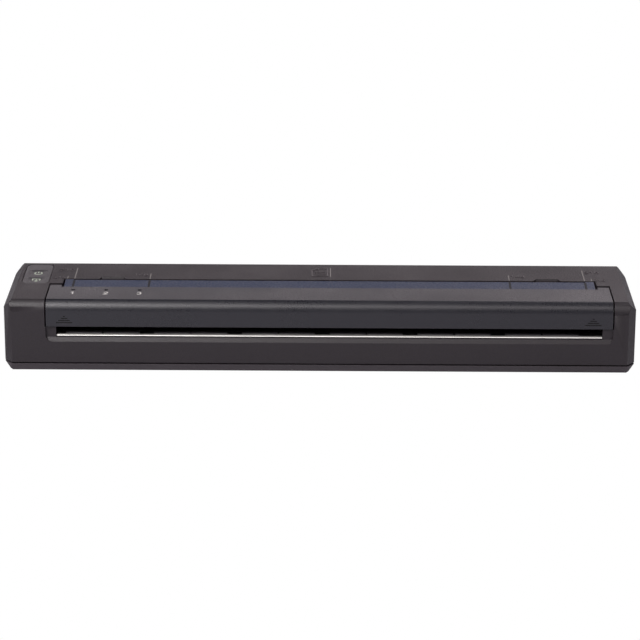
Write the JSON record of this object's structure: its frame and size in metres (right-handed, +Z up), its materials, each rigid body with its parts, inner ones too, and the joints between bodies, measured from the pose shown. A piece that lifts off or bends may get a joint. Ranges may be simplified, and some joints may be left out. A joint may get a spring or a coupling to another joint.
{
  "type": "a4 portable thermal printer",
  "caption": "Slim bar-shaped portable page printer with a hinged release cover, a top paper entry, a front exit slot with a tear bar, and key caps at one end.",
  "frame": {"origin": "centre of the outline, on the plane under the rubber feet", "axes": "+X along the machine towards the end without buttons, +Y towards the rear wall, +Z up; the paper leaves towards -Y"},
  "size_m": [0.255, 0.055, 0.03],
  "materials": {
    "case_plastic": "fine moulded texture, charcoal",
    "cover_plastic": "fine moulded texture, dark grey",
    "strip_plastic": "fine grain, slate blue",
    "panel_plastic": "smooth satin, grey",
    "inner_plastic": "satin, black",
    "gear_plastic": "natural, off-white",
    "clear_plastic": "smoked clear",
    "circuit_board": "solder mask, green",
    "ribbon": "film",
    "ceramic": null,
    "steel_sheet": "zinc plated sheet",
    "steel_bright": "ground bright steel",
    "aluminium": "extruded",
    "roller_rubber": "ground",
    "foot_rubber": "moulded",
    "battery_wrap": "film wrap"
  },
  "bodies": {
    "chassis": {"upper_case": "case_plastic", "bottom_cover": "case_plastic", "hinge_pins": "steel_bright", "paper_guide": "strip_plastic", "tear_bar": "steel_bright", "exit_guide": "inner_plastic", "left_frame": "steel_sheet", "right_frame": "steel_sheet", "frame_beam": "steel_sheet", "platen_bushings": "gear_plastic", "idler_stud": "steel_bright", "drive_motor": "steel_sheet", "head_shaft": "steel_bright", "head_springs": "steel_bright", "head_cable": "ribbon", "main_board": "circuit_board", "board_chips": "inner_plastic", "board_sockets": "gear_plastic", "port_board": "circuit_board", "button_board": "circuit_board", "key_switches": "gear_plastic", "button_panel": "panel_plastic", "battery_pack": "battery_wrap", "battery_contacts": "inner_plastic", "door_pins": "steel_bright", "dc_jack": "inner_plastic", "usb_port": "steel_bright", "paper_sensor": "inner_plastic", "case_screws": "steel_bright", "frame_screws": "steel_bright", "rubber_feet": "foot_rubber"},
    "release_cover": {"release_cover": "cover_plastic", "light_pipes": "clear_plastic", "led_board": "circuit_board"},
    "platen": {"platen_shaft": "steel_bright", "platen_sleeve": "roller_rubber", "platen_gear": "gear_plastic"},
    "idler": {"idler_gear": "gear_plastic"},
    "motor_rotor": {"motor_shaft": "steel_bright", "motor_pinion": "gear_plastic"},
    "print_head": {"heat_sink": "aluminium", "thermal_head": "ceramic", "driver_cover": "inner_plastic"},
    "power_button": {"power_button": "panel_plastic"},
    "feed_button": {"feed_button": "panel_plastic"},
    "battery_cover": {"battery_cover": "case_plastic"}
  },
  "joints": [
    {"name": "release_cover_hinge", "type": "hinge", "parent": "chassis", "child": "release_cover", "pos_m": [0, -0.0067, 0.0285], "axis": [-1, 0, 0], "range_deg": [0, 60]},
    {"name": "platen_spin", "type": "hinge", "parent": "chassis", "child": "platen", "pos_m": [0, -0.0065, 0.0213], "axis": [1, 0, 0], "continuous": true},
    {"name": "idler_spin", "type": "hinge", "parent": "chassis", "child": "idler", "pos_m": [0, 0.00464, 0.0135], "axis": [1, 0, 0], "continuous": true},
    {"name": "motor_spin", "type": "hinge", "parent": "chassis", "child": "motor_rotor", "pos_m": [0, 0.01464, 0.0135], "axis": [1, 0, 0], "continuous": true},
    {"name": "print_head_pivot", "type": "hinge", "parent": "chassis", "child": "print_head", "pos_m": [0, 0.00653, 0.01793], "axis": [1, 0, 0], "range_deg": [0, 4], "stiffness_Nm_per_rad": 0.5, "springref_deg": -20.05, "deforming": ["head_springs"]},
    {"name": "power_press", "type": "slide", "parent": "chassis", "child": "power_button", "axis": [0, 0, -1], "range_m": [0, 0.0004], "stiffness_N_per_m": 300, "springref_m": -0.0015},
    {"name": "feed_press", "type": "slide", "parent": "chassis", "child": "feed_button", "axis": [0, 0, -1], "range_m": [0, 0.0004], "stiffness_N_per_m": 300, "springref_m": -0.0015},
    {"name": "battery_cover_hinge", "type": "hinge", "parent": "chassis", "child": "battery_cover", "pos_m": [0, 0.0263, 0.0072], "axis": [-1, 0, 0], "range_deg": [0, 90]}
  ],
  "couplings": [
    {"joint": "idler_spin", "follows": "platen_spin", "ratio": -0.78947},
    {"joint": "motor_spin", "follows": "platen_spin", "ratio": 2.5}
  ]
}
